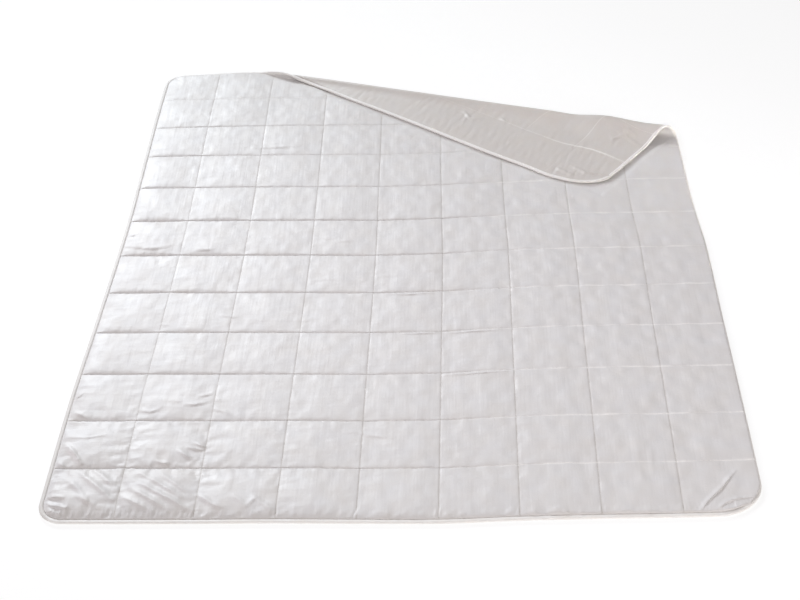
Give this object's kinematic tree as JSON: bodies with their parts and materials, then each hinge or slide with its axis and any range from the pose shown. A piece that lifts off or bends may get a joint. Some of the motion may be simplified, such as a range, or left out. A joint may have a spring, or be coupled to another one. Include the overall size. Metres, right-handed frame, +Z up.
{
  "type": "summer duvet",
  "caption": "Thin quilted satin summer duvet with square cells, round corners and a bound edge, lying flat with one corner folded over.",
  "frame": {"origin": "middle of the part's box, on the floor that it lies on", "axes": "+Z up from the floor, +Y along the duvet from the near edge to the far edge, +X across it to the right"},
  "size_m": [1.4952, 2.0088, 0.0417],
  "materials": {
    "duvet_satin": "satin",
    "binding_satin": "satin"
  },
  "bodies": {
    "root": {"duvet": "duvet_satin", "binding": "binding_satin"}
  },
  "joints": []
}
